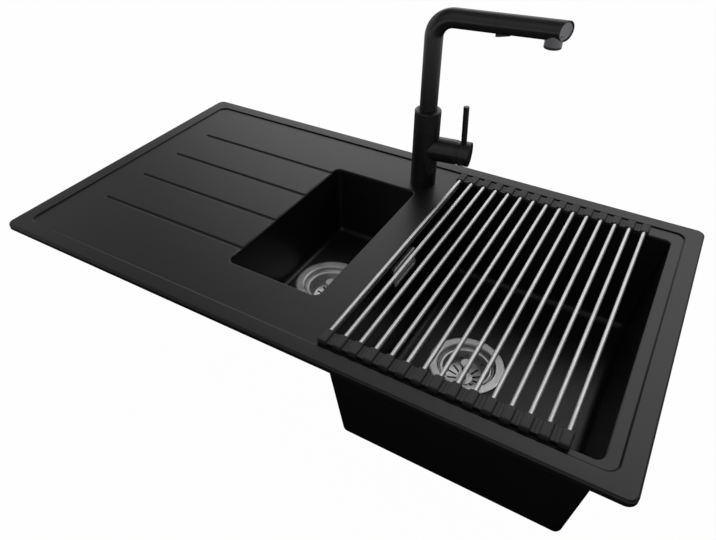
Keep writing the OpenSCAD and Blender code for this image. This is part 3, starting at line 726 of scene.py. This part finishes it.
def basket(m, tag, mat):
    """Basket with a rim, two rows of holes in its wall and a slotted, dished floor."""
    b = Build()
    b.lathe(BASKET, m, 96, closed=True)
    slots = Build()
    step = 360 / SLOTS
    bar = [(-SLOT_HALF, -36), (SLOT_HALF, -36), (SLOT_HALF, -24), (-SLOT_HALF, -24)]
    for k in range(SLOTS):
        slots.extrude(bar, m @ turn(step * k, "Z"), 13.0, 27.0)
        for angle, z in ((step * (k + 0.5), -15), (step * k, -20)):
            slots.lathe(BORE, m @ turn(angle, "Z") @ shift(0, 0, z) @ ALONG_X, 20)
    ob = b.done("strainer_basket_" + tag, 40.0, [slots.cutter("slots")])
    place(ob, "strainer_" + tag, "strainer", mat, "basket_" + tag)


def knob_and_plug(m, tag, mat):
    node = "basket_knob_" + tag
    b = Build()
    b.lathe(KNOB, m, 48)
    place(b.done(node, 40.0), "plug_" + tag, "strainer", mat, node)
    b = Build()
    b.lathe(PLUG, m, 48, closed=True)
    place(b.done("plug_disc_" + tag, 40.0), "plug_" + tag, "seal", M_SEAL, node)


def wastes():
    for bowl, tag, mat in ((MAIN, "main", M_FLANGE_M), (HALF, "half", M_FLANGE_H_PAINTED_LIGHT)):
        m = shift(*bowl.waste, bowl.floor)
        flange(m, tag, mat)
        basket(m, tag, mat)
        knob_and_plug(m, tag, mat)


def overflow_cover():
    """Plate with three slots and a small bevel on its edges."""
    b = Build()
    plate = rrect((-32.0, 32.0, -15.0, 15.0), 3.0, 0, 6)
    b.extrude([p[:2] for p in plate], COVER_M, 0.0, 2.0)
    slots = Build()
    for z in (-8.0, 0.0, 8.0):
        slots.extrude(slot_outline(2, 25, z, 15), COVER_M, -1.0, 4.0)
    ob = b.done("overflow_grille", 30.0, [slots.cutter("cover_slots")])
    bevel = ob.modifiers.new("edge", "BEVEL")
    bevel.width = 0.5 * MM
    bevel.segments = 2
    bevel.limit_method = "ANGLE"
    bake(ob)
    place(ob, "sink", "cover", M_CHROME, "overflow_cover")


# ---------------------------------------------------------------- tap
def tap_column():
    """Upright body with the socket for the spout, and the side branch."""
    b = Build()
    upright = fillet([
        (0, DECK, 0), (BODY_R, DECK, 0.6), (BODY_R, BODY_TOP, 2.2), (14.2, BODY_TOP, 0.4),
        (13.9, 124.0, 0), (0, 124.0, 0),
    ])
    branch = fillet([(0, 0.0, 0), (BRANCH_R, 0.0, 0), (BRANCH_R, PIVOT, 0.35), (0, PIVOT, 0)])
    b.lathe(upright, TAP_M, 96)
    b.lathe(branch, on_arm(BRANCH_Z), 96)
    place(b.done("tap_column", weld=False), "sink", "tap_coat", M_TAP, "tap_body")


def tap_collar():
    b = Build()
    top = BODY_TOP + 1.0
    ring = fillet([(13.55, 122.0, 0), (13.55, top, 0.4), (15.3, top, 0.5), (15.3, 122.0, 0)])
    b.lathe(ring, TAP_M, 64, closed=True)
    place(b.done("tap_collar"), "sink", "trim", M_TRIM)


def spout():
    """Tube up from the body, round the bend and along the arm, with the socket for the spray head."""
    b = Build()
    bend, seam, socket_r, socket_depth, n = 28.0, 85.0, 12.0, 26.0, 64
    stations = [((0, 0, 97.0), 0.0), ((0, 0, 170.0), 0.0)]
    for a in range(0, 91, 5):
        stations.append(((bend - bend * cos_deg(a), 0, ARM_Z - bend + bend * sin_deg(a)), a))
    stations += [((60.0, 0, ARM_Z), 90.0), ((seam - 0.1, 0, ARM_Z), 90.0)]
    loops = []
    for centre, a in stations:
        m = TAP_M @ shift(*centre) @ turn(a, "Y")
        loops.append([m @ Vector(p) for p in circle(0, 0, SPOUT_R, 0, n)])
    m = on_arm(ARM_Z, seam)
    for r, depth in ((SPOUT_R - 0.15, 0.0), (socket_r, 0.0), (socket_r, socket_depth)):
        loops.append([m @ Vector(p) for p in circle(0, 0, r, -depth, n)])
    b.closed_skin(loops)
    place(b.done("spout_pipe", 40.0), "spout", "tap_coat", M_TAP, "spout_tube")


def slant(b, m, start):
    """Turns the end of a lathe, past a height, to face the front."""
    back = m.inverted()
    for v in b.bm.verts:
        p = back @ v.co
        if p.z > start:
            p.z += p.y * math.tan(math.radians(END_SLANT))
            v.co = m @ p


def spray_shell():
    """Pull-out head: the part in the spout's socket, the seam and the slanted sleeve."""
    b = Build()
    m = on_arm(ARM_Z, HEAD_X)
    b.lathe(fillet([
        (0, 0.0, 0), (11.7, 0.0, 0.8), (11.7, 20.0, 0), (13.35, 20.0, 0), (SPOUT_R, 20.15, 0),
        (SPOUT_R, HEAD_L, 0.5), (12.7, HEAD_L, 0.2), (12.6, 108.0, 0), (0, 108.0, 0),
    ]), m, 96)
    slant(b, m, 100.0)
    place(b.done("spray_shell", weld=False), "spray", "tap_coat", M_TAP, "spray_head")


def spray_outlet():
    b = Build()
    b.lathe(fillet([(0, 0.0, 0), (12.0, 0.0, 0.3), (12.0, 14.0, 0), (0, 14.0, 0)]),
            TAP_M @ shift(OUTLET_X, 0, 251.0), 64)
    place(b.done("spray_outlet"), "spray", "end_cap", M_CAP)


def spray_end_disc():
    b = Build()
    m = on_arm(ARM_Z, END_X)
    b.lathe(fillet([
        (0, 0.0, 0), (12.55, 0.0, 0), (12.55, 4.2, 0.5), (11.4, 4.7, 0.4), (10.9, 4.3, 0.3), (0, 4.3, 0),
    ]), m, 96)
    slant(b, m, -1.0)
    place(b.done("spray_end_disc"), "spray", "end_cap", M_CAP, "spray_end_cap")


def spray_face():
    b = Build()
    b.lathe(fillet([
        (0, 1.2, 0), (8.6, 1.2, 0.3), (9.2, 0.0, 0.3), (11.6, 0.0, 0.5), (12.0, 0.8, 0.3), (12.0, 3.0, 0),
        (10.5, 3.0, 0), (10.5, 10.0, 0), (0, 10.0, 0),
    ]), TAP_M @ shift(OUTLET_X, 0, 248.0), 64)
    place(b.done("spray_face"), "spray", "trim", M_TRIM, "spray_nozzle")


def diverter_rocker():
    """Rocker under the head; its cross-sections shrink a little toward both sides."""
    b = Build()
    m = TAP_M @ shift(BUTTON_X, 0, ARM_Z - SPOUT_R)
    top = 3.0
    side = fillet([(-10, -3.5, 0.8), (-10, top, 0), (10, top, 0), (10, -0.5, 0.4), (-6.5, -3.6, 1.5)], 20)
    sections = ((-4.5, 0.9), (-4.2, 0.97), (-3.6, 1.0), (3.6, 1.0), (4.2, 0.97), (4.5, 0.9))
    b.closed_skin([[m @ Vector((x, y, top + (z - top) * k)) for x, z in side] for y, k in sections])
    place(b.done("diverter_rocker", 40.0), "button", "trim", M_TRIM, "diverter_button")


def bonnet_dome():
    """Ball-shaped nut on which the handle turns and tilts, hollow for the stem."""
    b = Build()
    sleeve = [(16.5, -8.0), (16.5, -0.05), (18.6, -0.05)]
    hollow = [(8.0, 9.8), (5.6, 3.8), (7.0, 1.3), (10.3, -8.0)]
    dome = arc(18.6, (5, 10, 15, 20, 25, 30, 31.8))
    b.lathe(sleeve + dome + hollow, on_arm(BRANCH_Z, PIVOT), 96, closed=True)
    place(b.done("bonnet_dome"), "sink", "tap_coat", M_TAP, "bonnet_nut")


def handle_shell():
    """Cap over the dome, hollow on the dome's side."""
    b = Build()
    socket = [(0, 18.0), (4.0, 18.0), (4.0, 14.0)]
    mouth = [(19.0, 5.5), (BRANCH_R, 5.7)]
    outside = fillet([(BRANCH_R, 6.0, 0), (BRANCH_R, 22.0, 0.6), (0, 22.0, 0)])
    b.lathe(socket + arc(18.9, (46, 38, 30, 23, 17)) + mouth + outside, on_arm(BRANCH_Z, PIVOT), 96)
    place(b.done("handle_shell"), "handle", "tap_coat", M_TAP, "handle_cap")


def lever_rod():
    b = Build()
    m = TAP_M @ shift(LEVER_X, 0, BRANCH_Z) @ turn(LEVER_LEAN, "Y")
    b.lathe(fillet([
        (0, 17.2, 0), (2.5, 17.2, 0), (2.5, 18.2, 0), (LEVER_R, 18.2, 0), (LEVER_R, 77.2, 0.7), (0, 77.2, 0),
    ]), m, 48)
    place(b.done("lever_rod"), "handle", "tap_coat", M_TAP, "lever_pin")


# ---------------------------------------------------------------- rack
def rod_mesh():
    """Mesh of a rod along Y, with round ends."""
    b = Build()
    length = RACK_Y1 - RACK_Y0 - 2 * ROD_INSET
    profile = fillet([(0, 0, 0), (ROD_R, 0, 1.2), (ROD_R, length, 1.2), (0, length, 0)], 20)
    b.lathe(profile, turn(-90, "X"), 32)
    ob = b.done("rod_shape", 40.0)
    me = ob.data
    bpy.data.objects.remove(ob, do_unlink=True)
    return me


def grip_pair(name, x, first, last):
    """Sleeves on both ends of a rod, with half of the web on each side that has a neighbour."""
    b = Build()
    half = PITCH / 2 - WEB_GAP
    x0 = -WEB_END if first else -half
    x1 = WEB_END if last else half
    sleeve = fillet([
        (-GRIP_HALF, DECK, 0.8), (GRIP_HALF, DECK, 0.8),
        (GRIP_HALF, GRIP_TOP, 2.6), (-GRIP_HALF, GRIP_TOP, 2.6),
    ], 15)
    web = fillet([(x0, WEB_BOTTOM, 0), (x1, WEB_BOTTOM, 0), (x1, WEB_TOP, 0.35), (x0, WEB_TOP, 0.35)], 30)
    for y, side in ((RACK_Y0, 1), (RACK_Y1, -1)):
        # the sleeve runs along Y: turn the extrusion's X axis onto it
        m = shift(x, y, 0) @ turn(90 * side, "Z")
        web_here = reversed(web) if side > 0 else web
        b.extrude([(-p, z) for p, z in reversed(sleeve)], m, 0.0, GRIP_L, 1.6)
        b.extrude([(-p * side, z) for p, z in web_here], m, 1.0, GRIP_L - 1.0, 0.5)
    return b.done(name, 40.0, weld=False)


def rack():
    me = rod_mesh()
    for k in range(RODS):
        x = ROD_X1 + PITCH * k
        tag = "%02d" % (k + 1)
        body = "link_" + tag
        rod = bpy.data.objects.new("drying_rod_" + tag, me.copy())
        rod.data.transform(shift(x * MM, (RACK_Y0 + ROD_INSET) * MM, ROD_Z * MM))
        scene.collection.objects.link(rod)
        place(rod, body, "rod", M_ROD, "rack_rod_" + tag)
        grips = grip_pair("grip_pair_" + tag, x, k == 0, k == RODS - 1)
        place(grips, body, "grip", M_GRIP, "rack_grips_" + tag)


sink()
wastes()
overflow_cover()
for make_piece in (tap_column, tap_collar, spout, spray_shell, spray_outlet, spray_end_disc, spray_face,
                   diverter_rocker, bonnet_dome, handle_shell, lever_rod):
    make_piece()
rack()

# ---------------------------------------------------------------- CAD pieces that stay as they are
KEEP = {
    "rim_seal": M_SEAL, "flange_gaskets": M_SEAL, "lower_gaskets": M_SEAL, "waste_body_main": M_WASTE,
    "waste_body_half": M_WASTE, "clamp_screws": M_STEEL, "overflow_elbow": M_WASTE, "tap_shank": M_BRASS,
    "shank_washer": M_SEAL, "tap_locknut": M_BRASS, "spout_bushing": M_TRIM, "cartridge_body": M_CERAMIC,
    "cartridge_carrier": M_CERAMIC, "cartridge_stem": M_STEEL,
}
for name, mat in KEEP.items():
    paint(NODES[name], mat)

# ---------------------------------------------------------------- surroundings
# soft boxes around the sink: direction, cosine at which one begins and at which it is full, strength
SOFTBOXES = (
    ((0.0, 0.5, 0.87), 0.75, 1.0, 0.18),
    ((0.0, 0.82, 0.57), 0.78, 1.0, 0.85),
    ((-0.50, 0.80, 0.33), 0.93, 1.0, 1.70),
    ((-0.88, 0.30, 0.37), 0.93, 1.0, 0.70),
    ((0.15, 0.70, 0.70), 0.92, 1.0, 0.75),
    ((0.0, -0.5, 0.87), 0.75, 1.0, 0.12),
    ((0.0, -0.87, 0.5), 0.75, 1.0, 0.36),
    ((-0.96, -0.25, 0.12), 0.80, 1.0, 0.60),
)
AMBIENT = 0.13
# floor, metres: half its side, height, and where its painted glow for the object turns from painted shadow
# below the sink to pale, and how pale
FLOOR_HALF, FLOOR_Z = 6.0, -0.263
PALE_FROM, PALE_FULL, PALE = 0.95, 1.6, 0.7
# share of plain white in the floor that the camera sees; the rest carries the shadow
FLOOR_GLOW = 0.985


def surroundings(nt, vector):
    """Brightness of the surroundings in a direction."""
    total = AMBIENT
    for direction, start, full, strength in SOFTBOXES:
        dot = vector_node(nt, "DOT_PRODUCT", vector, direction)
        edge = map_node(nt, dot.outputs["Value"], 0.0, 1.0, start, full, soft=True)
        total = math_node(nt, "ADD", math_node(nt, "MULTIPLY", edge, strength), total)
    return total


def studio_world():
    """White for the camera, soft boxes for everything else."""
    world = bpy.data.worlds.new("studio")
    scene.world = world
    world.use_nodes = True
    nt = world.node_tree
    nt.nodes.clear()
    out = nt.nodes.new("ShaderNodeOutputWorld")
    where = nt.nodes.new("ShaderNodeTexCoord")
    boxes = nt.nodes.new("ShaderNodeBackground")
    nt.links.new(surroundings(nt, where.outputs["Generated"]), boxes.inputs["Strength"])
    white = nt.nodes.new("ShaderNodeBackground")
    white.inputs["Strength"].default_value = 1.0
    white.inputs["Color"].default_value = (1, 1, 1, 1)
    nt.links.new(camera_switch(nt, boxes.outputs[0], white.outputs[0]), out.inputs["Surface"])


def floor_paint():
    """White with a trace of shadow for the camera; for the object a painted glow, dark below as the sink's
    painted shadow and pale further off.
    """
    k = Mat("floor_white")
    nt = k.nt
    k.set(color=(0.9, 0.9, 0.9), rough=1.0, spec=0.0)
    glow = nt.nodes.new("ShaderNodeEmission")
    glow.inputs["Strength"].default_value = 1.0
    seen = nt.nodes.new("ShaderNodeMixShader")
    seen.inputs[0].default_value = FLOOR_GLOW
    nt.links.new(k.bsdf.outputs[0], seen.inputs[1])
    nt.links.new(glow.outputs[0], seen.inputs[2])
    # painted light and shadow for the object: the floor glows, dark under the sink as its painted shadow,
    # pale further off
    dark = nt.nodes.new("ShaderNodeEmission")
    where = nt.nodes.new("ShaderNodeNewGeometry")
    away = vector_node(nt, "LENGTH", where.outputs["Position"])
    pale = k.mapped(away.outputs["Value"], 0.0, PALE, PALE_FROM, PALE_FULL)
    nt.links.new(pale, dark.inputs["Strength"])
    out = [n for n in nt.nodes if n.type == "OUTPUT_MATERIAL"][0]
    nt.links.new(camera_switch(nt, dark.outputs[0], seen.outputs[0]), out.inputs["Surface"])
    return k.m


def floor():
    """Floor just below the wastes' outlets."""
    s, z = FLOOR_HALF, FLOOR_Z
    me = bpy.data.meshes.new("floor")
    me.from_pydata([(-s, -s, z), (s, -s, z), (s, s, z), (-s, s, z)], [], [(0, 1, 2, 3)])
    ob = bpy.data.objects.new("floor", me)
    scene.collection.objects.link(ob)
    paint(ob, floor_paint())


def area_lamp(name, loc, target, size, power):
    light = bpy.data.lights.new(name, "AREA")
    light.shape = "RECTANGLE"
    light.size, light.size_y = size
    light.energy = power
    ob = bpy.data.objects.new(name, light)
    ob.location = loc
    ob.rotation_euler = (Vector(target) - Vector(loc)).to_track_quat("-Z", "Y").to_euler()
    scene.collection.objects.link(ob)


# ---------------------------------------------------------------- camera
# solved from the straight edges: focal length in pixels of the 716 pixel wide picture, place and directions
PHOTO_W, FOCAL_PX, SENSOR = 716.0, 617.63, 36.0
CAMERA_AT = (0.3817, -0.6411, 0.5415)
CAMERA_FORWARD = (-0.38712, 0.66787, -0.63568)
CAMERA_RIGHT = (0.86535, 0.50117, -0.00043)


def photo_camera():
    data = bpy.data.cameras.new("camera")
    data.sensor_fit = "HORIZONTAL"
    data.sensor_width = SENSOR
    data.lens = FOCAL_PX * SENSOR / PHOTO_W
    data.clip_start = 0.01
    ob = bpy.data.objects.new("camera", data)
    forward, right = Vector(CAMERA_FORWARD), Vector(CAMERA_RIGHT)
    up = right.cross(forward).normalized()
    rotation = Matrix((right, up, -forward)).transposed().to_4x4()
    ob.matrix_world = shift(*CAMERA_AT) @ rotation
    scene.collection.objects.link(ob)
    return ob


studio_world()
floor()
area_lamp("top_back", (0.7, 1.5, 1.7), (0.1, 0, 0), (1.6, 1.2), 1.8)
bpy.context.scene.camera = photo_camera()
scene.view_settings.view_transform = "Standard"
